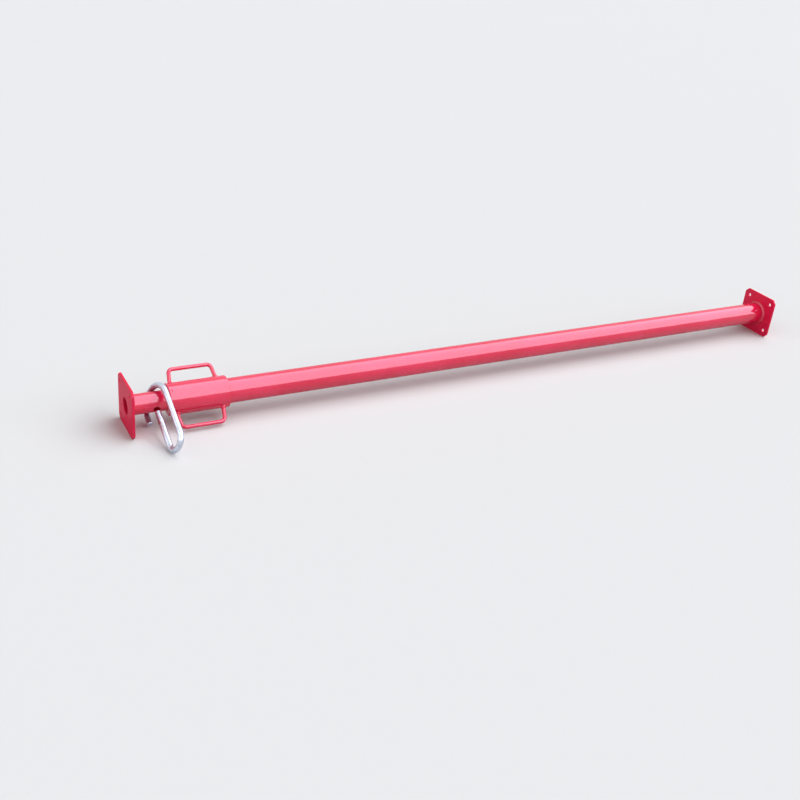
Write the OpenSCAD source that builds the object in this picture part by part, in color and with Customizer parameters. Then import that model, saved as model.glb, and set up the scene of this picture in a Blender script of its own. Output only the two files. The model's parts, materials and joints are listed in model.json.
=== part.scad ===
// Adjustable steel prop with a sleeve nut, closed and lying on the edges of its two end plates.
// X runs along the tubes from the base plate's outer face to the head plate, and +Z is up.

/* [Overall] */
// Length over both end plates with the prop closed
closed_length = 1950; // [1500:10:2400]
// Height of the thread that the sleeve nut climbs in one turn
thread_pitch = 8; // [6:1:12]
// Turns of the sleeve nut from the bottom of the thread to its top
thread_turns = 10; // [8:1:14]

/* [Inner tube] */
// Outside diameter of the inner tube, from which the outer tube and the sleeve follow
inner_tube_d = 48.3; // [42:0.1:56]
// Wall of the inner tube
inner_wall = 3.2; // [2.6:0.1:4]
// Gap left between the inner tube's foot and the base plate when the prop is closed
foot_gap = 38; // [10:1:100]
// Length of the stop ring on the inner tube's foot
stop_ring_l = 20; // [10:1:40]

/* [Outer tube] */
// Gap between the inner tube and the outer tube's bore, on the radius
tube_gap = 2.8; // [1.5:0.1:4]
// Wall of the outer tube
outer_wall = 3.2; // [2.6:0.1:3.6]
// Length of the guide ring in the outer tube's mouth
guide_ring_l = 30; // [20:1:50]

/* [Pin holes] */
// Clearance of the pin in its holes, on the radius
pin_hole_gap = 1.5; // [0.5:0.1:2.5]
// Distance from one pin hole to the next
hole_pitch = 100; // [80:1:130]
// Distance of the first pin hole from the head plate
first_hole = 60; // [50:1:90]
// Distance from the first pin hole to the thrust washer when the prop is closed
hole_to_washer = 28; // [24:1:45]
// Length of inner tube below the last pin hole, which stays inside the outer tube
lap_length = 330; // [300:5:500]
// Angle of the pin holes below the horizontal, on the side that the pin leans to
hole_tilt = 23; // [0:1:24]

/* [End plates] */
// Side of the square end plates
plate_side = 120; // [110:1:150]
// Thickness of the end plates
plate_t = 6; // [5:0.5:10]
// Length cut off each corner of the plates, along both edges
corner_cut = 10; // [2:0.5:15]
// Diameter of the four nail and bolt holes in each plate
bolt_hole_d = 10; // [8:0.5:14]
// Distance of the bolt holes from the plate's edges
bolt_inset = 18; // [14:0.5:22]
// Diameter of the hole in the middle of each plate
centre_hole_d = 40; // [20:1:41]
// Leg of the weld that joins each plate to its tube
plate_weld = 6; // [4:0.5:8]

/* [Sleeve nut] */
// Wall of the nut, from the crest of the outer tube's thread to the sleeve's bore
nut_wall = 4.3; // [3:0.1:6]
// Wall of the sleeve
sleeve_wall = 3.6; // [2.9:0.1:4]
// Rounding of the sleeve's outer edges
sleeve_edge = 2; // [0.5:0.25:2.5]
// Length of the threaded nut in the sleeve
nut_l = 38; // [30:1:44]
// Depth of the nut's lower face inside the sleeve's lower end
nut_recess = 5; // [4:0.5:8]
// Chamfer where the outer tube enters the nut
nut_chamfer = 1.5; // [0.5:0.25:2]
// Leg of the weld that holds the nut in the sleeve
nut_weld_leg = 2.5; // [1.5:0.25:3.5]
// Thickness of the ring welded in the sleeve's upper end
cap_t = 12; // [11:0.5:16]
// Thickness of the loose thrust washer that the pin bears on
washer_t = 5; // [4:0.5:8]
// Height of the washer above the sleeve's upper edge
washer_proud = 0.8; // [0.4:0.1:1.5]
// Number of plug welds that hold the ring in the sleeve
plug_count = 6; // [3:1:8]
// Diameter of the plug welds
plug_d = 9; // [6:0.5:10]
// Height of the plug welds above the sleeve
plug_crown = 0.8; // [0.3:0.1:1.2]

/* [Handles] */
// Diameter of the handles' round bar
handle_bar_d = 9.5; // [8:0.5:12]
// Distance of the handles' feet from the ends of the sleeve
foot_inset = 16; // [13:0.5:25]
// Angle that each leg leans in from its foot to the grip
handle_lean = 8; // [0:1:16]
// Distance from the sleeve's surface to the grip's axis
handle_reach = 35; // [30:1:45]
// Bend radius of the handle's corners, on the bar's axis
handle_bend = 11; // [9:0.5:14]
// Angle of the near handle below the horizontal
handle_tilt = 40; // [20:1:44]
// Leg of the welds round the handles' feet
handle_weld = 3.5; // [2:0.25:5]

/* [Locking pin] */
// Diameter of the pin's round bar
pin_d = 14; // [12:0.5:15]
// Straight length of the leg that goes through the tube
pin_leg = 98; // [90:1:120]
// Bend radius beside the pin leg, on the bar's axis
return_bend = 25; // [22:0.5:30]
// Bend radius of the wide bend that hangs over the tube, on the bar's axis
wide_bend = 46; // [42:0.5:52]
// Straight length after the wide bend, up to the free end
hook_tail = 20; // [10:1:30]
// Chamfer on the pin's two ends
pin_chamfer = 1.5; // [0.5:0.25:3]
// Gap between the pin's tip and the tube while the pin hangs
tip_gap = 7; // [4:0.5:15]
// Gap between the hanging pin and the washer beside it
pin_side_gap = 3.3; // [2:0.1:6]

/* [Clearances] */
// Clearance between sliding and turning round faces, on the radius
slide_gap = 0.3; // [0.2:0.05:0.6]
// Clearance round the inner tube in the washer and in the ring under it, on the radius
washer_gap = 0.6; // [0.4:0.1:1.5]
// Clearance between flat faces that turn or bear on each other
face_gap = 0.2; // [0.1:0.05:0.4]
// Gap between the outer tube's mouth and the ring in the sleeve
mouth_gap = 3; // [2:0.5:6]

/* [Hidden] */
$fn = 96;
cut = 1;
edge_steps = 5;
weld_steps = 6;
join_depth = 0.4;
join_inset = 0.05;
grid = 0.01;
paint = "#cf2438";
zinc = "#c9ccd4";

// Places along X, from the base plate's outer face.
head_face_x = closed_length - plate_t;
hole_x = head_face_x - first_hole;
washer_x = hole_x - hole_to_washer - washer_t;
cap_x = washer_x - face_gap - cap_t;
mouth_x = cap_x - mouth_gap;
foot_x = plate_t + foot_gap;
// The sleeve is long enough for the nut to climb the whole thread and end flush with the mouth.
nut_x = mouth_x - thread_pitch * thread_turns - nut_l;
sleeve_x = nut_x - nut_recess;
sleeve_l = washer_x + washer_t - washer_proud - sleeve_x;

// Diameters, from the inner tube outward. The outer tube's outside is also its thread's crest.
inner_bore = inner_tube_d - 2 * inner_wall;
outer_bore = inner_tube_d + 2 * tube_gap;
outer_tube_d = outer_bore + 2 * outer_wall;
sleeve_bore = outer_tube_d + 2 * nut_wall;
sleeve_d = sleeve_bore + 2 * sleeve_wall;
cap_bore = inner_tube_d + 2 * washer_gap;
pin_hole_d = pin_d + 2 * pin_hole_gap;

inner_l = head_face_x - foot_x;
hole_count = floor((inner_l - first_hole - lap_length) / hole_pitch) + 1;

// Places along the pin leg's axis, from the tube's axis outward.
tip_s = inner_tube_d / 2 + tip_gap;
return_s = tip_s + pin_leg;
return_y = 2 * return_bend;
wide_y = return_y - wide_bend;
tail_y = return_y - 2 * wide_bend;
// The pin leans towards the washer until its long side is the side gap away from it.
pin_lean = asin(min(1, (hole_to_washer - pin_side_gap - pin_d / 2) / return_y));
// The wide bend sinks towards the tube until the bar is the slide gap away from it.
seat_r = inner_tube_d / 2 + slide_gap + pin_d / 2;
wide_s = floor(min([for (turn = [-60 : 1 : 60])
    let (across = (wide_y + wide_bend * sin(turn)) * cos(pin_lean))
    if (abs(across) < seat_r)
        wide_bend * cos(turn) - sqrt(seat_r * seat_r - across * across)
]) / grid) * grid;

module along_x(x) {
    translate([x, 0, 0]) rotate([0, 90, 0]) children();
}

module tube(outside, bore, length) {
    difference() {
        cylinder(d = outside, h = length);
        translate([0, 0, -cut]) cylinder(d = bore, h = length + 2 * cut);
    }
}

// Bar of the given diameter along X from one place to another.
module bar(d, from, to) {
    translate([from, 0, 0]) rotate([0, 90, 0]) cylinder(d = d, h = to - from);
}

// Bar bent about Z: it starts at [radius, 0] and turns anticlockwise.
module bend(d, radius, angle) {
    rotate_extrude(angle = angle) translate([radius, 0]) circle(d = d);
}

// Profile of a weld bead in the corner between a face and a round wall.
function bead(radius, leg) = concat(
    [[radius, 0]],
    [for (i = [0 : weld_steps]) let (a = 90 * i / weld_steps)
        [radius + leg * pow(cos(a), 1.3), leg * pow(sin(a), 1.3)]]
);

module weld_ring(d, leg) {
    rotate_extrude() polygon(bead(d / 2, leg));
}

module plate_outline() {
    half = plate_side / 2;
    side = half - corner_cut;
    polygon([
        [-half, -side], [-side, -half], [side, -half], [half, -side],
        [half, side], [side, half], [-side, half], [-half, side]
    ]);
}

module end_plate() {
    offset_xy = plate_side / 2 - bolt_inset;
    difference() {
        linear_extrude(plate_t) plate_outline();
        translate([0, 0, -cut]) cylinder(d = centre_hole_d, h = plate_t + 2 * cut);
        for (i = [-1, 1], j = [-1, 1])
            translate([i * offset_xy, j * offset_xy, -cut])
                cylinder(d = bolt_hole_d, h = plate_t + 2 * cut);
    }
}

module outer_tube() {
    color(paint) along_x(plate_t) tube(outer_tube_d, outer_bore, mouth_x - plate_t);
}

module base_plate() {
    color(paint) along_x(0) end_plate();
}

module base_weld() {
    color(paint) along_x(plate_t) weld_ring(outer_tube_d, plate_weld);
}

// Ring in the outer tube's mouth, which guides the inner tube and holds its stop ring back.
module guide_ring() {
    color(paint) along_x(mouth_x - guide_ring_l)
        tube(outer_bore, inner_tube_d + 2 * slide_gap, guide_ring_l);
}

// Loose washer that lies in the sleeve's upper end, so that the sleeve turns under the pin.
module thrust_washer() {
    color(paint) along_x(washer_x)
        tube(sleeve_bore - 2 * slide_gap, cap_bore, washer_t);
}

function rounded_corner(x, y, r, start) =
    [for (i = [0 : edge_steps]) let (a = start + 90 * i / edge_steps)
        [x + r * cos(a), y + r * sin(a)]];

module plug_places(length) {
    for (i = [0 : plug_count - 1])
        along_x(cap_x + cap_t / 2) rotate([0, 0, 360 * (i + 0.5) / plug_count])
            rotate([0, 90, 0]) cylinder(d = plug_d, h = length);
}

module sleeve_tube() {
    outside = sleeve_d / 2;
    inside = sleeve_bore / 2;
    color(paint) difference() {
        along_x(sleeve_x) rotate_extrude() polygon(concat(
            [[inside, 0]],
            rounded_corner(outside - sleeve_edge, sleeve_edge, sleeve_edge, -90),
            rounded_corner(outside - sleeve_edge, sleeve_l - sleeve_edge, sleeve_edge, 0),
            [[inside, sleeve_l]]
        ));
        plug_places(sleeve_d / 2 + cut);
    }
}

// Nut that runs on the outer tube's thread, chamfered where the tube enters.
module sleeve_nut() {
    inside = outer_tube_d / 2 + slide_gap;
    outside = sleeve_bore / 2;
    color(paint) along_x(nut_x) rotate_extrude() polygon([
        [inside + nut_chamfer, 0], [outside, 0], [outside, nut_l],
        [inside + nut_chamfer, nut_l], [inside, nut_l - nut_chamfer], [inside, nut_chamfer]
    ]);
}

// Bead between the nut's lower face and the sleeve's bore.
module sleeve_nut_weld() {
    outside = sleeve_bore / 2;
    color(paint) along_x(nut_x) rotate_extrude() polygon(concat(
        [[outside, 0]],
        [for (i = [0 : weld_steps]) let (a = 90 * i / weld_steps)
            [outside - nut_weld_leg * pow(cos(a), 1.3), -nut_weld_leg * pow(sin(a), 1.3)]]
    ));
}

module sleeve_cap() {
    color(paint) along_x(cap_x) tube(sleeve_bore, cap_bore, cap_t);
}

// Plugs of weld that fill holes in the sleeve and stand a little above it.
module cap_plug_welds() {
    color(paint) difference() {
        intersection() {
            plug_places(sleeve_d / 2 + plug_crown);
            along_x(cap_x) cylinder(d = sleeve_d + 2 * plug_crown, h = cap_t);
        }
        along_x(cap_x - cut) cylinder(d = sleeve_bore, h = cap_t + 2 * cut);
    }
}

handle_x = sleeve_x + sleeve_l / 2;
grip_r = sleeve_d / 2 + handle_reach;
foot_u = sleeve_l / 2 - foot_inset;
leg_length = (handle_reach - handle_bend * (1 - sin(handle_lean))) / cos(handle_lean);
grip_end = foot_u - leg_length * sin(handle_lean) - handle_bend * cos(handle_lean);

// Handles are drawn in the XY plane, with the tube's axis along X and the grip at +Y.
// One side is a leg that leans out to its foot, and the corner above it. They are a hair
// thinner than the grip and end a little way inside it, so that the three join cleanly.
module handle_side() {
    bar_d = handle_bar_d - 2 * join_inset;
    corner_turn = 90 - handle_lean + join_depth / handle_bend * 180 / PI;
    translate([grip_end, grip_r - handle_bend, 0]) rotate([0, 0, handle_lean]) {
        bend(bar_d, handle_bend, corner_turn);
        translate([handle_bend, 0, 0]) rotate([90, 0, 0])
            cylinder(d = bar_d, h = leg_length + handle_bar_d);
    }
}

module sleeve_blank() {
    along_x(-sleeve_l) cylinder(d = sleeve_d, h = 2 * sleeve_l);
}

module handle() {
    color(paint) difference() {
        union() {
            translate([0, grip_r, 0]) bar(handle_bar_d, -grip_end, grip_end);
            handle_side();
            mirror([1, 0, 0]) handle_side();
        }
        sleeve_blank();
    }
}

// Beads round the two feet of a handle.
module handle_welds() {
    color(paint) for (side = [0, 1]) mirror([side, 0, 0]) difference() {
        translate([foot_u, sleeve_d / 2 - handle_weld, 0]) rotate([-90, 0, handle_lean])
            cylinder(d1 = handle_bar_d + 4 * handle_weld, d2 = handle_bar_d, h = 2 * handle_weld);
        translate([foot_u, sleeve_d / 2, 0]) rotate([0, 0, 90 + handle_lean])
            bar(handle_bar_d, -3 * handle_weld, 3 * handle_weld);
        sleeve_blank();
    }
}

module place_near() {
    translate([handle_x, 0, 0]) rotate([-handle_tilt, 0, 0]) children();
}

module place_far() {
    translate([handle_x, 0, 0]) rotate([180 - handle_tilt, 0, 0]) children();
}

module handle_near() {
    place_near() handle();
}

module handle_near_welds() {
    place_near() handle_welds();
}

module handle_far() {
    place_far() handle();
}

module handle_far_welds() {
    place_far() handle_welds();
}

module inner_tube() {
    color(paint) difference() {
        along_x(foot_x) tube(inner_tube_d, inner_bore, inner_l);
        for (i = [0 : hole_count - 1])
            translate([hole_x - i * hole_pitch, 0, 0]) rotate([90 - hole_tilt, 0, 0])
                cylinder(d = pin_hole_d, h = inner_tube_d + 2 * cut, center = true);
    }
}

// Ring on the inner tube's foot, which meets the guide ring before the tubes part.
module stop_ring() {
    color(paint) along_x(foot_x) tube(outer_bore - 2 * slide_gap, inner_tube_d, stop_ring_l);
}

module head_plate() {
    color(paint) along_x(head_face_x) end_plate();
}

module head_weld() {
    color(paint) along_x(head_face_x) mirror([0, 0, 1]) weld_ring(inner_tube_d, plate_weld);
}

// Straight stretch of the pin with a chamfered end at its start.
module pin_end(from, to) {
    translate([from, 0, 0]) rotate([0, 90, 0])
        cylinder(d1 = pin_d - 2 * pin_chamfer, d2 = pin_d, h = pin_chamfer);
    bar(pin_d, from + pin_chamfer, to);
}

// The pin lies in the XY plane here, with its leg along X and its bends towards +Y and -Y.
module flat_pin() {
    pin_end(tip_s, return_s);
    translate([return_s, return_bend, 0]) rotate([0, 0, -90]) bend(pin_d, return_bend, 180);
    translate([0, return_y, 0]) bar(pin_d, wide_s, return_s);
    translate([wide_s, wide_y, 0]) rotate([0, 0, 90]) bend(pin_d, wide_bend, 180);
    translate([0, tail_y, 0]) mirror([1, 0, 0]) pin_end(-wide_s - hook_tail, -wide_s);
}

// The leg points along the pin holes, and its tip waits just outside the tube.
module locking_pin() {
    color(zinc) translate([hole_x, 0, 0]) rotate([-hole_tilt, 0, 0]) rotate([90, 0, 90])
        rotate([-pin_lean, 0, 0]) flat_pin();
}

outer_tube();
base_plate();
base_weld();
guide_ring();
thrust_washer();
sleeve_tube();
sleeve_nut();
sleeve_nut_weld();
sleeve_cap();
cap_plug_welds();
handle_near();
handle_near_welds();
handle_far();
handle_far_welds();
inner_tube();
stop_ring();
head_plate();
head_weld();
locking_pin();
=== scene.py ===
import json
import math

import bmesh
import bpy
from mathutils import Matrix, Vector, noise


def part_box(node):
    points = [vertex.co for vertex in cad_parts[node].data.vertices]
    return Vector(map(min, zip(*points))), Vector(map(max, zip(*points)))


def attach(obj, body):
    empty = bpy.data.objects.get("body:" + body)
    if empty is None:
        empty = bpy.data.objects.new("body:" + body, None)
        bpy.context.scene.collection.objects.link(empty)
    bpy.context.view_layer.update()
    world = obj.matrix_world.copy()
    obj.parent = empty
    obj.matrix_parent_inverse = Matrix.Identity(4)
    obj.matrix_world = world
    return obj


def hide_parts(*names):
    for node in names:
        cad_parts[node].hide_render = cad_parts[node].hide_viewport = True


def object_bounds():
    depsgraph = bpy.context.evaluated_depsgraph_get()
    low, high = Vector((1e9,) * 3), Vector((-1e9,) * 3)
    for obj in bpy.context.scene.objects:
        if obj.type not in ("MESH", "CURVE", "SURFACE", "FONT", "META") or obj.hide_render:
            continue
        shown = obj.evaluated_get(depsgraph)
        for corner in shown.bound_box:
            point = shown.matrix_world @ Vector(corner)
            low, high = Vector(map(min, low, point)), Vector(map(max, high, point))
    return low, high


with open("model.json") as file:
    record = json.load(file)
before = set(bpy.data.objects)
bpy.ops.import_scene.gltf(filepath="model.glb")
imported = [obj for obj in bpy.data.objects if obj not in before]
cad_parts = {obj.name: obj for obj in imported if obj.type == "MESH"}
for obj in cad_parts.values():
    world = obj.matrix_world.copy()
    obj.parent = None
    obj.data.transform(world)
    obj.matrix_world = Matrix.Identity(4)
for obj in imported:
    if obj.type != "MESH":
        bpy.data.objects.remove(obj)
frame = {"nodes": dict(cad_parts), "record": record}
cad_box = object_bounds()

MM = 0.001
TURN = 2 * math.pi

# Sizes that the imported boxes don't hold, as in the part's source.
PLATE_CORNER_CUT = 10 * MM
PLATE_WELD = 6 * MM
HANDLE_BAR_R = 4.75 * MM
HANDLE_LEAN = math.radians(8)
HANDLE_FOOT_INSET = 16 * MM
HANDLE_ANGLES = {"near": math.radians(-40), "far": math.radians(140)}
HANDLE_WELD = 3.5 * MM
PLUG_COUNT = 6
PLUG_R = 4.5 * MM
PLUG_CROWN = 0.75 * MM

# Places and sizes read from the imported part, in metres.
TUBE_LOW, TUBE_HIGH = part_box("outer_tube")
TUBE_R = TUBE_HIGH.y
BORE_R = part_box("guide_ring")[1].y
INNER_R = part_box("head_weld")[1].y - PLATE_WELD
SLEEVE_LOW, SLEEVE_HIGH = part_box("sleeve_tube")
SLEEVE_R = SLEEVE_HIGH.y
NUT_LOW, NUT_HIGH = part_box("sleeve_nut")
SLEEVE_BORE_R = NUT_HIGH.y
CAP_LOW, CAP_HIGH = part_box("sleeve_cap")
PITCH = frame["record"]["behaviour"]["couplings"][0]["ratio"] * TURN
PLATE_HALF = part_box("base_plate")[1].y
MOUNTS = {mount["name"]: mount for mount in frame["record"]["mounts"]}

# Details that only this model has: rounded edges, the rolled thread and the welds' ripples.
TUBE_EDGE = 0.6 * MM
SLEEVE_EDGE = 1.6 * MM
PLATE_EDGE = 0.9 * MM
PLATE_CORNER_R = 2 * MM
EDGE_STEPS = 5
PLATE_EDGE_STEPS = 4
THREAD_DEPTH = 1.3 * MM
THREAD_RING = 0.4 * MM
THREAD_FLANK = 0.16
THREAD_FLANK_START = 0.9
THREAD_END = 0.8 * MM
WELD_BITE = 0.3 * MM
FOOT_WELD_BITE = 0.4 * MM
FOOT_WELD_DEPTH = 0.6 * MM
RIPPLE_LENGTH = 2.6 * MM
RIPPLE_HEIGHT = 0.5 * MM
LUMP_HEIGHT = 0.6 * MM
PLUG_SWIRL = 0.1 * MM
PLUG_DEPTH = 1.2 * MM


# ---------------------------------------------------------------- meshes

def piece(name, mesh, body, materials, replaces):
    """A finished piece in red paint that rides on a body and stands for CAD nodes."""
    obj = bpy.data.objects.new(name, mesh)
    bpy.context.scene.collection.objects.link(obj)
    for material in materials:
        mesh.materials.append(material)
    mesh.polygons.foreach_set("use_smooth", [True] * len(mesh.polygons))
    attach(obj, body)
    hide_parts(*replaces)
    return obj


def new_mesh(name, verts, faces, merge=False):
    """A mesh whose faces all look outward, with points at one place made one if asked."""
    work = bmesh.new()
    mesh = bpy.data.meshes.new(name)
    mesh.from_pydata(verts, [], faces)
    work.from_mesh(mesh)
    if merge:
        bmesh.ops.remove_doubles(work, verts=work.verts, dist=1e-6)
    bmesh.ops.recalc_face_normals(work, faces=work.faces)
    work.to_mesh(mesh)
    work.free()
    return mesh


def set_wear(mesh, values):
    """Keeps how worn each point is, from 0 to 1, for the paint's chips."""
    mesh.attributes.new("wear", "FLOAT", "POINT").data.foreach_set("value", values)


def loop_faces(first, count, around):
    """Faces between rings of equal length, the last one joined to the first."""
    faces = []
    for i in range(count):
        a, b = first + i * around, first + (i + 1) % count * around
        for j in range(around):
            k = (j + 1) % around
            faces.append((a + j, a + k, b + k, b + j))
    return faces


def skin(name, rings):
    """A skin over rings of equal length that closes on itself."""
    verts = [point for ring in rings for point in ring]
    return new_mesh(name, verts, loop_faces(0, len(rings), len(rings[0])))


def around_x(x, radius, angle):
    """A point beside the X axis, at an angle that turns from +Y to +Z."""
    return (x, radius * math.cos(angle), radius * math.sin(angle))


def lathe(name, profile, segments=128, radius_at=None):
    """Turns a closed profile of (x, radius, wear) about X."""
    rings = []
    for x, radius, worn in profile:
        angles = [TURN * j / segments for j in range(segments)]
        rings.append([
            around_x(x, radius_at(x, radius, a) if radius_at else radius, a)
            for a in angles
        ])
    mesh = skin(name, rings)
    set_wear(mesh, [worn for x, radius, worn in profile for _ in range(segments)])
    return mesh


def corner(x, radius, r, start):
    """Quarter turn of a profile about (x, radius), clockwise from an angle in degrees."""
    turn = [math.radians(start - 90 * i / EDGE_STEPS) for i in range(EDGE_STEPS + 1)]
    return [(x + r * math.cos(a), radius + r * math.sin(a), 1.0) for a in turn]


def straight(x0, x1, radius, count):
    """Points between two places on a profile, both ends left out."""
    return [(x0 + (x1 - x0) * i / count, radius, 0.0) for i in range(1, count)]


def tube_profile(low, high, inside, outside, edge, count, outer_line=None):
    """Closed profile of a tube whose four edges are rounded."""
    return (
        corner(low + edge, outside - edge, edge, 180)
        + (outer_line or straight(low + edge, high - edge, outside, count))
        + corner(high - edge, outside - edge, edge, 90)
        + corner(high - edge, inside + edge, edge, 0)
        + straight(high - edge, low + edge, inside, count)
        + corner(low + edge, inside + edge, edge, -90)
    )


def smooth(t):
    """Goes from 0 to 1 as t does, level at both ends."""
    t = min(1.0, max(0.0, t))
    return t * t * (3 - 2 * t)


def thread_depth(x, angle):
    """Depth of the rolled thread's groove: right-handed, and fading out at both ends."""
    phase = (x / PITCH - angle / TURN) % 1.0
    from_crest = 0.5 - abs(phase - 0.5)
    groove = smooth(from_crest / THREAD_FLANK - THREAD_FLANK_START)
    fade_low = smooth((x - NUT_LOW.x) / (0.6 * PITCH))
    fade_high = smooth((TUBE_HIGH.x - THREAD_END - x) / (0.5 * PITCH))
    return THREAD_DEPTH * groove * fade_low * fade_high


def outer_tube():
    """The outer tube with the thread that the sleeve nut climbs."""
    low, high, start = TUBE_LOW.x, TUBE_HIGH.x, NUT_LOW.x
    thread_rings = round((high - TUBE_EDGE - start) / THREAD_RING)
    outer_line = (
        straight(low + TUBE_EDGE, start, TUBE_R, 60)
        + [(start, TUBE_R, 0.0)]
        + straight(start, high - TUBE_EDGE, TUBE_R, thread_rings)
    )
    profile = tube_profile(low, high, BORE_R, TUBE_R, TUBE_EDGE, 60, outer_line)

    def radius_at(x, radius, angle):
        outside = radius > TUBE_R - TUBE_EDGE and x > start
        return radius - thread_depth(x, angle) if outside else radius

    mesh = lathe("outer_tube_threaded", profile, 144, radius_at)
    obj = piece("outer_tube_threaded", mesh, "outer", [RED, THREAD], ["outer_tube"])
    for face in mesh.polygons:
        outside = math.hypot(face.center.y, face.center.z) > BORE_R + 2 * TUBE_EDGE
        if face.center.x > start and outside:
            face.material_index = 1
    return obj


def octagon(half, cut, radius, steps=4):
    """Outline of a plate with cut corners, rounded a little at each of its eight bends."""
    side = half - cut
    corners = [(half, -side), (half, side), (side, half), (-side, half),
               (-half, side), (-half, -side), (-side, -half), (side, -half)]
    back = radius * math.tan(math.pi / 8)
    points = []
    for i, place in enumerate(corners):
        before, after = Vector(corners[i - 1]), Vector(corners[(i + 1) % 8])
        here = Vector(place)
        a = here + (before - here).normalized() * back
        b = here + (after - here).normalized() * back
        for k in range(steps + 1):
            t = k / steps
            points.append(a.lerp(here, t).lerp(here.lerp(b, t), t))
    return points


def circle(y, z, radius, segments):
    """Outline of a round hole in a plate."""
    return [Vector((y + radius * math.cos(TURN * i / segments),
                    z + radius * math.sin(TURN * i / segments)))
            for i in range(segments)]


def end_plate(name, node, mounts, body):
    """An end plate whose edges and holes are rounded as pressed steel is."""
    low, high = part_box(node)
    bolts, centre = MOUNTS[mounts + "_bolts"]["dims"], MOUNTS[mounts + "_centre"]["dims"]
    dy, dz = bolts["spacing_x_mm"] * MM / 2, bolts["spacing_y_mm"] * MM / 2
    holes = [(0, 0, centre["r_mm"] * MM, 64)] + [
        (i * dy, j * dz, bolts["hole_r_mm"] * MM, 32) for i in (-1, 1) for j in (-1, 1)
    ]
    # Outlines through the thickness, as places along X and how far in from the plate's rim.
    sections = []
    for k in range(PLATE_EDGE_STEPS + 1):
        a = math.radians(90 * k / PLATE_EDGE_STEPS)
        sections.append((low.x + PLATE_EDGE * (1 - math.sin(a)),
                         PLATE_EDGE * (1 - math.cos(a))))
    sections.append((low.x, 3 * PLATE_EDGE))
    sections = sections[::-1] + [(low.x + high.x - x, inset) for x, inset in sections]

    def outline_loops(x, inset):
        cut = PLATE_CORNER_CUT - inset + inset * (math.sqrt(2) - 1)
        loops = [octagon(PLATE_HALF - inset, cut, PLATE_CORNER_R)]
        loops += [circle(y, z, r + inset, n) for y, z, r, n in holes]
        return [[(x, p.x, p.y) for p in loop] for loop in loops]

    work = bmesh.new()
    rows = [[[work.verts.new(p) for p in loop] for loop in outline_loops(x, inset)]
            for x, inset in sections]
    for before, after in zip(rows, rows[1:]):
        for a, b in zip(before, after):
            for j in range(len(a)):
                k = (j + 1) % len(a)
                work.faces.new((a[j], a[k], b[k], b[j]))
    for row in (rows[0], rows[-1]):
        edges = [work.edges.get((vert, loop[(j + 1) % len(loop)]))
                 for loop in row for j, vert in enumerate(loop)]
        bmesh.ops.triangle_fill(work, use_beauty=True, use_dissolve=False, edges=edges)
    bmesh.ops.recalc_face_normals(work, faces=work.faces)
    mesh = bpy.data.meshes.new(name)
    work.to_mesh(mesh)
    work.free()
    around = sum(len(loop) for loop in rows[0])
    set_wear(mesh, [max(0.0, 1 - inset / (2 * PLATE_EDGE))
                    for x, inset in sections for _ in range(around)])
    obj = piece(name, mesh, body, [PLATE_RED], [node])
    flat_faces(mesh, low.x, high.x)
    return obj


def flat_faces(mesh, x0, x1):
    """Keeps the two big faces of a plate flat-shaded."""
    for face in mesh.polygons:
        if all(min(abs(mesh.vertices[v].co.x - x0), abs(mesh.vertices[v].co.x - x1)) < 1e-7
               for v in face.vertices):
            face.use_smooth = False


def ripple(along, across, seed):
    """Height of a weld bead's ripples: crescents along it, uneven in size."""
    drift = 0.8 * noise.noise(Vector((along * 120, seed, 0)))
    crescent = 1.8 * (across - 0.5) ** 2
    wave = (along / RIPPLE_LENGTH + drift + crescent) % 1.0
    crest = math.sin(math.pi * wave ** 0.7)
    lump = noise.noise(Vector((along * 75, across * 2, seed + 7)))
    return RIPPLE_HEIGHT * (crest - 0.5) + LUMP_HEIGHT * lump


def bulge(share, power):
    """A weld's section at a share of its arc: how far out and up, and how rippled, it is."""
    a = math.radians(90 * share)
    return max(0.0, math.cos(a)) ** power, max(0.0, math.sin(a)) ** power, math.sin(2 * a)


def plate_weld(name, node, radius, face_x, side, body):
    """The weld between a plate and its tube, with its ripples."""
    segments, steps = 360, 9
    rings = []
    for j in range(segments):
        angle = TURN * j / segments
        along = angle * radius
        fade = min(1.0, j / 8, (segments - j) / 8)
        leg = PLATE_WELD * (0.90 + 0.07 * noise.noise(Vector((angle * 2, side, 3))) * fade)
        ring = [around_x(face_x - side * WELD_BITE, radius - WELD_BITE, angle)]
        for i in range(steps + 1):
            out, up, middle = bulge(i / steps, 1.25)
            reach = leg + ripple(along, i / steps, side * 5.0) * middle
            ring.append(around_x(face_x + side * reach * up, radius + reach * out, angle))
        rings.append(ring)
    return piece(name, skin(name, rings), body, [RED], [node])


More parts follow.
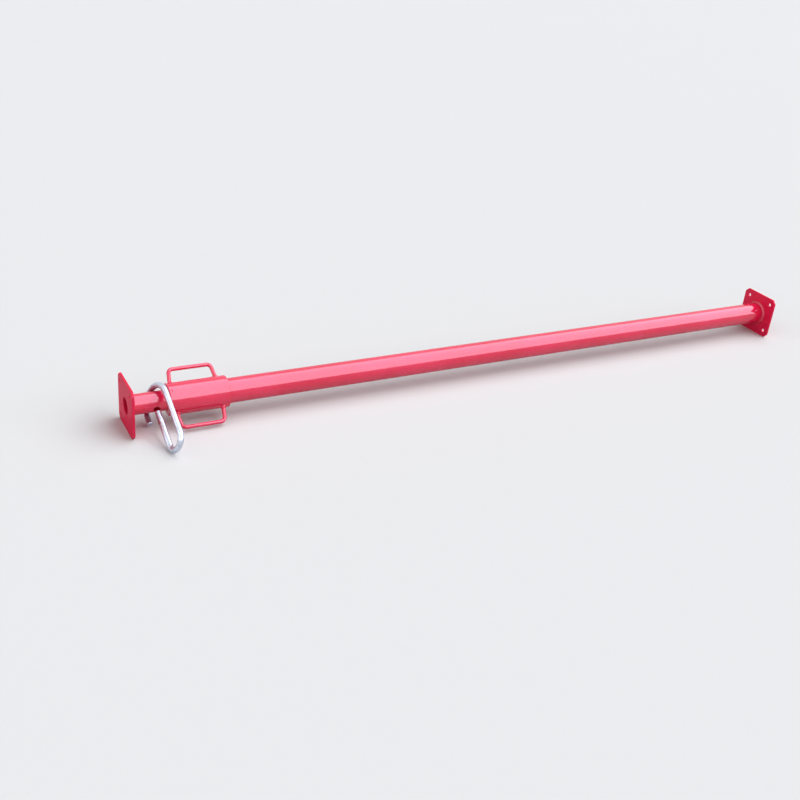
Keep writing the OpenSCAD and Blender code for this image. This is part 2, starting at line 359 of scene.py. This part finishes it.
def handle_weld(name, node, tilt):
    """The beads round the two feet of a handle, where its bar meets the sleeve."""
    centre_x = (SLEEVE_LOW.x + SLEEVE_HIGH.x) / 2
    foot = (SLEEVE_HIGH.x - SLEEVE_LOW.x) / 2 - HANDLE_FOOT_INSET
    segments, steps = 72, 7
    verts, faces = [], []
    for side in (-1, 1):
        first = len(verts)
        lean = side * HANDLE_LEAN
        axis = Vector((-math.sin(lean), math.cos(lean), 0))
        across = Vector((math.cos(lean), math.sin(lean), 0))
        base = Vector((side * foot, SLEEVE_R, 0))
        for j in range(segments):
            angle = TURN * j / segments
            out = across * math.cos(angle) + Vector((0, 0, 1)) * math.sin(angle)
            uneven = noise.noise(Vector((3 * math.cos(angle), 3 * math.sin(angle), side + tilt)))
            leg = HANDLE_WELD * (0.95 + 0.16 * uneven)
            ring = [(base + out * (HANDLE_BAR_R - FOOT_WELD_BITE), -FOOT_WELD_DEPTH)]
            for i in range(steps + 1):
                spread, height, middle = bulge(i / steps, 1.2)
                reach = leg + ripple(angle * HANDLE_BAR_R * 1.4, i / steps,
                                     side + tilt * 3) * middle * 0.8
                ring.append((base + out * (HANDLE_BAR_R + reach * spread), reach * height))
            for place, height in ring:
                drop = SLEEVE_R - math.sqrt(SLEEVE_R ** 2 - place.z ** 2)
                foot_point = place - axis * ((place.y - SLEEVE_R + drop) / axis.y)
                verts.append(foot_point + axis * height)
        faces += loop_faces(first, segments, steps + 2)
    turn = Matrix.Translation((centre_x, 0, 0)) @ Matrix.Rotation(tilt, 4, "X")
    mesh = new_mesh(name, [turn @ v for v in verts], faces)
    return piece(name, mesh, "sleeve", [RED], [node])


def plug_welds():
    """Domes of weld that fill the plug holes near the sleeve's upper end."""
    x0 = (CAP_LOW.x + CAP_HIGH.x) / 2
    segments, rows = 40, 9
    verts, faces = [], []
    for plug in range(PLUG_COUNT):
        place = TURN * (plug + 0.5) / PLUG_COUNT - TURN / 4
        first = len(verts)
        for i in range(rows + 1):
            share = i / rows
            for j in range(segments):
                angle = TURN * j / segments
                uneven = 1 + 0.05 * noise.noise(Vector((math.cos(angle) * 1.5,
                                                        math.sin(angle) * 1.5, plug * 4)))
                r = PLUG_R * uneven * (1.0 - share)
                swirl = math.sin(2.2 * TURN * share + 2 * angle) * (1 - share) * share
                height = PLUG_CROWN * (1 - (1 - share) ** 2.2) * 0.85 + PLUG_SWIRL * swirl
                radius = SLEEVE_R + (height if i else -PLUG_DEPTH)
                verts.append(around_x(x0 + r * math.cos(angle), radius,
                                      place + r * math.sin(angle) / SLEEVE_R))
        for i in range(rows):
            a, b = first + i * segments, first + (i + 1) * segments
            for j in range(segments):
                k = (j + 1) % segments
                faces.append((a + j, a + k, b + k, b + j))
        faces.append(tuple(range(first, first + segments))[::-1])
    mesh = new_mesh("plug_weld_domes", verts, faces, merge=True)
    return piece("plug_weld_domes", mesh, "sleeve", [RED], ["cap_plug_welds"])


def sleeve_barrel():
    """The sleeve, with its two ends turned round."""
    mesh = lathe("sleeve_barrel", tube_profile(
        SLEEVE_LOW.x, SLEEVE_HIGH.x, SLEEVE_BORE_R, SLEEVE_R, SLEEVE_EDGE, 24))
    return piece("sleeve_barrel", mesh, "sleeve", [RED], ["sleeve_tube"])


# ---------------------------------------------------------------- materials

def colour(r, g, b):
    return (r, g, b, 1.0)


class Nodes:
    """Builds a node tree step by step."""

    def __init__(self, tree):
        self.tree = tree

    def node(self, kind, inputs=(), **settings):
        made = self.tree.nodes.new(kind)
        for name, value in settings.items():
            setattr(made, name, value)
        for name, value in dict(inputs).items():
            self.feed(made.inputs[name], value)
        return made

    def feed(self, socket, value):
        """Links a socket to another one, or sets it."""
        if isinstance(value, bpy.types.NodeSocket):
            self.tree.links.new(value, socket)
        else:
            socket.default_value = value

    def span(self, value, low, high, to_low=0.0, to_high=1.0):
        """Maps a value from one span to another, level and held at both ends."""
        return self.node("ShaderNodeMapRange", {
            "Value": value, "From Min": low, "From Max": high,
            "To Min": to_low, "To Max": to_high,
        }, clamp=True, interpolation_type="SMOOTHSTEP").outputs["Result"]

    def maths(self, operation, a, b=0.0):
        return self.node("ShaderNodeMath", {0: a, 1: b}, operation=operation).outputs[0]

    def between(self, factor, low, high):
        """A number that goes straight from low to high as the factor goes from 0 to 1."""
        return self.node("ShaderNodeMapRange", {
            "Value": factor, "To Min": low, "To Max": high,
        }).outputs["Result"]

    def mix(self, factor, a, b):
        """A colour that goes from a to b as the factor goes from 0 to 1."""
        made = self.node("ShaderNodeMix", data_type="RGBA")
        self.feed(made.inputs["Factor"], factor)
        self.feed(made.inputs[6], a)
        self.feed(made.inputs[7], b)
        return made.outputs[2]

    def seen_directly(self):
        """1 where the camera, a reflection or glass looks at the surface, else 0."""
        path = self.node("ShaderNodeLightPath").outputs
        looked_at = self.maths("MAXIMUM", path["Is Glossy Ray"], path["Is Transmission Ray"])
        return self.maths("MAXIMUM", looked_at, path["Is Camera Ray"])


class Finish(Nodes):
    """A node material. Lengths in its patterns are in metres."""

    def __init__(self, name, **constants):
        self.material = bpy.data.materials.new(name)
        self.material.use_nodes = True
        super().__init__(self.material.node_tree)
        self.shader = self.tree.nodes["Principled BSDF"]
        for socket, value in constants.items():
            self.shader.inputs[socket.replace("_", " ")].default_value = value
        self.where = self.node("ShaderNodeTexCoord").outputs["Object"]

    def show(self, **values):
        """Feeds the shader's sockets, named with _ for a space."""
        for socket, value in values.items():
            self.feed(self.shader.inputs[socket.replace("_", " ")], value)

    def stretched(self, scale):
        return self.node("ShaderNodeVectorMath", {0: self.where, 1: scale},
                         operation="MULTIPLY").outputs[0]

    def noise(self, scale, detail=3.0, rough=0.55, where=None):
        return self.node("ShaderNodeTexNoise", {
            "Vector": where or self.where, "Scale": scale, "Detail": detail,
            "Roughness": rough,
        }).outputs["Fac"]

    def bump(self, height, distance, under=None):
        inputs = {"Height": height, "Distance": distance, "Strength": 1.0}
        if under is not None:
            inputs["Normal"] = under
        return self.node("ShaderNodeBump", inputs).outputs["Normal"]

    def cells(self, scale):
        """A cell pattern: the distance from each cell's middle, and a colour of its own."""
        made = self.node("ShaderNodeTexVoronoi", {"Vector": self.where, "Scale": scale})
        apart = self.node("ShaderNodeSeparateColor", {"Color": made.outputs["Color"]})
        return made.outputs["Distance"], apart.outputs

    def specks(self, scale, size, share):
        """Small round spots in a share of the cells of a pattern."""
        distance, own = self.cells(scale)
        spot = self.span(distance, size * 1.25, size * 0.75)
        some = self.span(own["Red"], share + 0.01, share)
        return self.maths("MULTIPLY", spot, some)


def red_paint(name, gloss, coat_roughness, coat_waves):
    """Dipped red paint: soft patches, a few specks and rubs, chips where it is worn."""
    f = Finish(name, Coat_Weight=gloss, Coat_IOR=1.6, Coat_Roughness=coat_roughness,
               Specular_IOR_Level=0.0)
    patches = f.span(f.noise(7.0), 0.35, 0.65)
    base = f.mix(patches, colour(0.78, 0.010, 0.062), colour(0.86, 0.017, 0.084))
    dust = f.span(f.noise(38.0, 5.0, 0.65), 0.56, 0.80, 0.0, 0.25)
    base = f.mix(dust, base, colour(0.85, 0.08, 0.16))
    rubs = f.span(f.noise(1.0, 3.0, 0.6, f.stretched((9.0, 210.0, 210.0))), 0.68, 0.76)
    rubs = f.maths("MULTIPLY", rubs, f.span(f.noise(12.0), 0.52, 0.66, 0.0, 0.55))
    base = f.mix(rubs, base, colour(0.62, 0.09, 0.11))
    base = f.mix(f.specks(140.0, 0.075, 0.045), base, colour(0.30, 0.020, 0.030))
    worn = f.node("ShaderNodeAttribute", attribute_name="wear").outputs["Fac"]
    chips = f.span(f.maths("MULTIPLY", worn, f.noise(310.0, 4.0, 0.6)), 0.63, 0.66)
    base = f.mix(chips, base, colour(0.30, 0.10, 0.10))
    rough = f.span(f.noise(60.0, 4.0, 0.6), 0.3, 0.7, 0.26, 0.40)
    rough = f.maths("ADD", rough, f.maths("MULTIPLY", chips, 0.3))
    peel = f.bump(f.noise(420.0, 2.0), 0.06 * MM)
    waves = f.bump(f.noise(45.0, 2.0), 0.45 * MM, under=peel)
    sunk = f.bump(f.maths("MULTIPLY", chips, -1.0), 0.2 * MM, under=waves)
    f.show(Base_Color=base, Roughness=rough, Normal=sunk,
           Coat_Normal=f.bump(f.noise(110.0, 2.0), coat_waves))
    return f.material


def thread_steel():
    """The thread: paint left in the grooves under grease, and bare crests."""
    f = Finish("greased_thread", Coat_Weight=0.6, Coat_IOR=1.5, Coat_Roughness=0.18)
    radius = f.node("ShaderNodeVectorMath", {0: f.stretched((0.0, 1.0, 1.0))},
                    operation="LENGTH").outputs["Value"]
    crest = f.span(radius, TUBE_R - 0.55 * MM, TUBE_R - 0.1 * MM)
    scuffs = f.span(f.noise(1.0, 4.0, 0.6, f.stretched((900.0, 60.0, 60.0))), 0.3, 0.55)
    bare = f.maths("MULTIPLY", crest, scuffs)
    grease = f.span(f.noise(70.0, 4.0), 0.35, 0.65)
    groove = f.mix(grease, colour(0.16, 0.035, 0.035), colour(0.42, 0.04, 0.055))
    steel = f.mix(f.noise(220.0), colour(0.40, 0.38, 0.37), colour(0.60, 0.58, 0.57))
    f.show(Base_Color=f.mix(bare, groove, steel), Metallic=bare,
           Roughness=f.span(f.noise(120.0), 0.3, 0.7, 0.28, 0.48),
           Normal=f.bump(f.noise(500.0, 3.0), 0.08 * MM))
    return f.material


def zinc():
    """Bright zinc plating, mottled, with duller patches and small stains."""
    f = Finish("zinc_plating", Metallic=1.0)
    spangle = f.span(f.cells(160.0)[1]["Green"], 0.0, 1.0, 0.0, 0.5)
    base = f.mix(spangle, colour(0.60, 0.64, 0.73), colour(0.47, 0.51, 0.60))
    dull = f.span(f.noise(45.0, 4.0, 0.6), 0.50, 0.72)
    base = f.mix(f.maths("MULTIPLY", dull, 0.7), base, colour(0.30, 0.31, 0.35))
    stain = f.span(f.noise(150.0, 3.0), 0.66, 0.74, 0.0, 0.5)
    base = f.mix(stain, base, colour(0.20, 0.19, 0.20))
    rough = f.span(f.noise(90.0, 4.0), 0.3, 0.7, 0.26, 0.44)
    rough = f.maths("ADD", rough, f.maths("MULTIPLY", dull, 0.16))
    fine = f.bump(f.noise(900.0, 3.0), 0.04 * MM)
    f.show(Base_Color=base, Roughness=rough,
           Normal=f.bump(f.noise(130.0, 3.0), 0.16 * MM, under=fine))
    return f.material


RED = red_paint("red_gloss_paint", 1.0, 0.07, 0.05 * MM)
PLATE_RED = red_paint("red_plate_paint", 0.28, 0.20, 0.35 * MM)
THREAD = thread_steel()
ZINC = zinc()


# ---------------------------------------------------------------- the object

for name, node in frame["nodes"].items():
    node.data.materials.clear()
    node.data.materials.append(ZINC if name == "locking_pin" else RED)

outer_tube()
end_plate("base_plate_pressed", "base_plate", "base", "outer")
end_plate("head_plate_pressed", "head_plate", "head", "inner")
plate_weld("base_weld_bead", "base_weld", TUBE_R, TUBE_LOW.x, 1, "outer")
plate_weld("head_weld_bead", "head_weld", INNER_R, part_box("head_plate")[0].x, -1, "inner")
for side, tilt in HANDLE_ANGLES.items():
    handle_weld("handle_" + side + "_beads", "handle_" + side + "_welds", tilt)
plug_welds()
sleeve_barrel()


# ---------------------------------------------------------------- the stage

FLOOR_REACH = 150.0
FLOOR_LIT = colour(0.36, 0.36, 0.365)
FLOOR_SEEN = colour(0.73, 0.73, 0.74)

# The sky's levels are radiances, where 1 shows as white. Its panel has four soft edges: two
# angles above the +Y horizon, turning about X, and two shares of X in its direction. In gloss
# the panel is a little brighter and bluer than the light that it gives.
SKY_LEVEL = 0.10
SKY_SEEN = 1.0
SKY_COLOUR = colour(0.975, 0.985, 1.0)
PANEL_LOW = (math.radians(17), math.radians(21))
PANEL_HIGH = (math.radians(132), math.radians(118))
PANEL_FAR = (-0.92, -0.84)
PANEL_NEAR = (-0.06, -0.16)
PANEL_LEVEL = 2.9
PANEL_SHINE = 4.8
PANEL_TINT = colour(0.86, 0.95, 1.18)

FILL_ENERGY = 1.6
FILL_ANGLE = math.radians(90)
FILL_FROM = Vector((0.9, 0.25, 0.35))


def pale_floor():
    """A wide floor under the prop. Seen directly it is paler than the light it throws back."""
    z = cad_box[0].z
    mesh = bpy.data.meshes.new("floor")
    mesh.from_pydata([(x * FLOOR_REACH, y * FLOOR_REACH, z)
                      for x, y in ((-1, -1), (1, -1), (1, 1), (-1, 1))], [], [(0, 1, 2, 3)])
    floor = bpy.data.objects.new("floor", mesh)
    bpy.context.scene.collection.objects.link(floor)
    f = Finish("pale_floor", Roughness=0.9, Specular_IOR_Level=0.1)
    f.show(Base_Color=f.mix(f.seen_directly(), FLOOR_LIT, FLOOR_SEEN))
    mesh.materials.append(f.material)


def studio_world():
    """A soft sky with one broad, brighter panel. Seen directly, the rest of it is white."""
    world = bpy.data.worlds.new("studio")
    bpy.context.scene.world = world
    world.use_nodes = True
    sky = Nodes(world.node_tree)
    direction = sky.node("ShaderNodeTexCoord").outputs["Generated"]
    axes = sky.node("ShaderNodeSeparateXYZ", {0: direction}).outputs
    rise = sky.maths("ARCTAN2", axes["Z"], axes["Y"])
    panel = sky.span(rise, *PANEL_LOW)
    for edge in (sky.span(rise, *PANEL_HIGH), sky.span(axes["X"], *PANEL_FAR),
                 sky.span(axes["X"], *PANEL_NEAR)):
        panel = sky.maths("MULTIPLY", panel, edge)
    camera_ray = sky.node("ShaderNodeLightPath").outputs["Is Camera Ray"]
    seen = sky.seen_directly()
    lit = sky.maths("MULTIPLY", panel, sky.maths("SUBTRACT", 1.0, camera_ray))
    plain = sky.between(seen, SKY_LEVEL, SKY_SEEN)
    bright = sky.between(seen, PANEL_LEVEL, PANEL_SHINE)
    strength = sky.maths("ADD", sky.maths("MULTIPLY", plain, sky.maths("SUBTRACT", 1.0, lit)),
                         sky.maths("MULTIPLY", lit, bright))
    background = sky.tree.nodes["Background"].inputs
    sky.feed(background["Color"],
             sky.mix(sky.maths("MULTIPLY", lit, seen), SKY_COLOUR, PANEL_TINT))
    sky.feed(background["Strength"], strength)


def fill_light():
    """A weak, broad lamp from the head plate's side, which lights the plates' faces."""
    data = bpy.data.lights.new("fill", "SUN")
    data.energy, data.angle = FILL_ENERGY, FILL_ANGLE
    fill = bpy.data.objects.new("fill", data)
    bpy.context.scene.collection.objects.link(fill)
    fill.rotation_euler = FILL_FROM.to_track_quat("Z", "Y").to_euler()


pale_floor()
studio_world()
fill_light()


# ---------------------------------------------------------------- the camera

CAMERA_AZIMUTH = math.radians(149.5)
CAMERA_ELEVATION = math.radians(27.8)
CAMERA_ROLL = math.radians(5.99)
CAMERA_FROM_HEAD = Vector((0.524, 2.0997, 1.182))
CAMERA_LENS = 47.68
SENSOR_WIDTH = 36.0


def photo_camera():
    """The camera at the photograph's viewing angle, placed from the head plate's face."""
    data = bpy.data.cameras.new("camera")
    camera = bpy.data.objects.new("camera", data)
    bpy.context.scene.collection.objects.link(camera)
    data.sensor_width = SENSOR_WIDTH
    data.lens = CAMERA_LENS
    data.clip_end = 400.0
    back = Vector((math.sin(CAMERA_AZIMUTH) * math.cos(CAMERA_ELEVATION),
                   -math.cos(CAMERA_AZIMUTH) * math.cos(CAMERA_ELEVATION),
                   math.sin(CAMERA_ELEVATION)))
    level_right = (-back).cross(Vector((0, 0, 1))).normalized()
    level_up = level_right.cross(-back)
    cos_roll, sin_roll = math.cos(CAMERA_ROLL), math.sin(CAMERA_ROLL)
    right = level_right * cos_roll + level_up * sin_roll
    up = level_up * cos_roll - level_right * sin_roll
    place = Vector((cad_box[1].x, 0, 0)) + CAMERA_FROM_HEAD
    turn = Matrix((right, up, back)).transposed().to_4x4()
    camera.matrix_world = Matrix.Translation(place) @ turn
    bpy.context.scene.camera = camera


photo_camera()
bpy.context.scene.view_settings.view_transform = "Standard"
